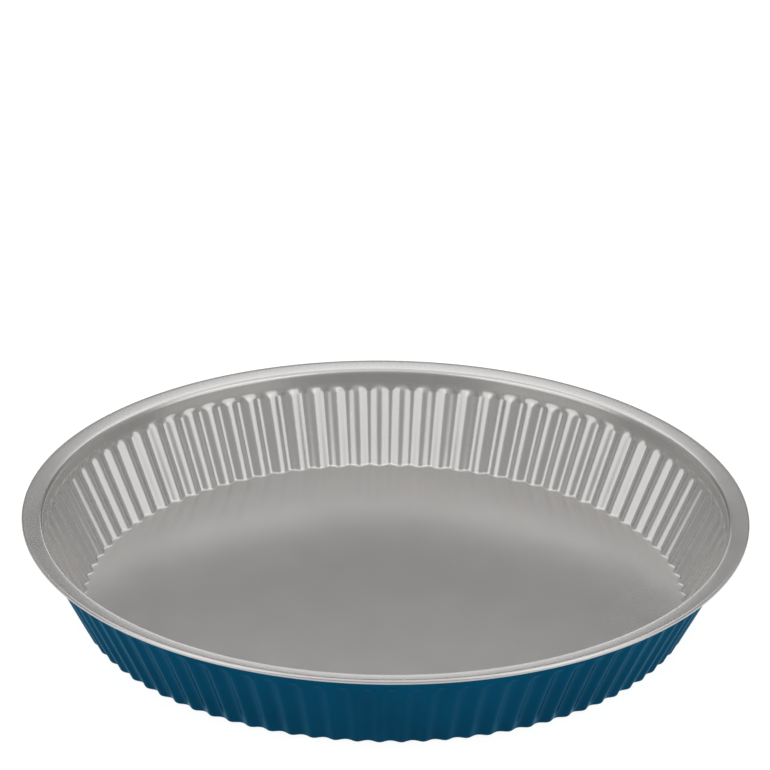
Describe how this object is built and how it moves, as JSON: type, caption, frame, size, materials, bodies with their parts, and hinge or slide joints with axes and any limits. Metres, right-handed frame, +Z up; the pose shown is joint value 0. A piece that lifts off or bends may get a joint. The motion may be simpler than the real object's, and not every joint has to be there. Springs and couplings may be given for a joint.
{
  "type": "fluted baking tin",
  "caption": "Round shallow baking tin with a fluted, flaring wall, a plain collar and a narrow folded rim, grey inside and blue outside.",
  "frame": {"origin": "middle of the flat underside, on the surface that the tin stands on", "axes": "+Z up along the axis of the tin, +X through the middle of an outward lobe of the fluted wall"},
  "size_m": [0.28, 0.28, 0.0375],
  "materials": {
    "steel": "cold-rolled sheet, bare only at the raw edge inside the hem",
    "grey_lining": "satin metallic grey non-stick",
    "blue_coat": "semi-gloss dark blue"
  },
  "bodies": {
    "root": {"steel_shell": "steel", "grey_lining": "grey_lining", "blue_coat": "blue_coat"}
  },
  "joints": []
}
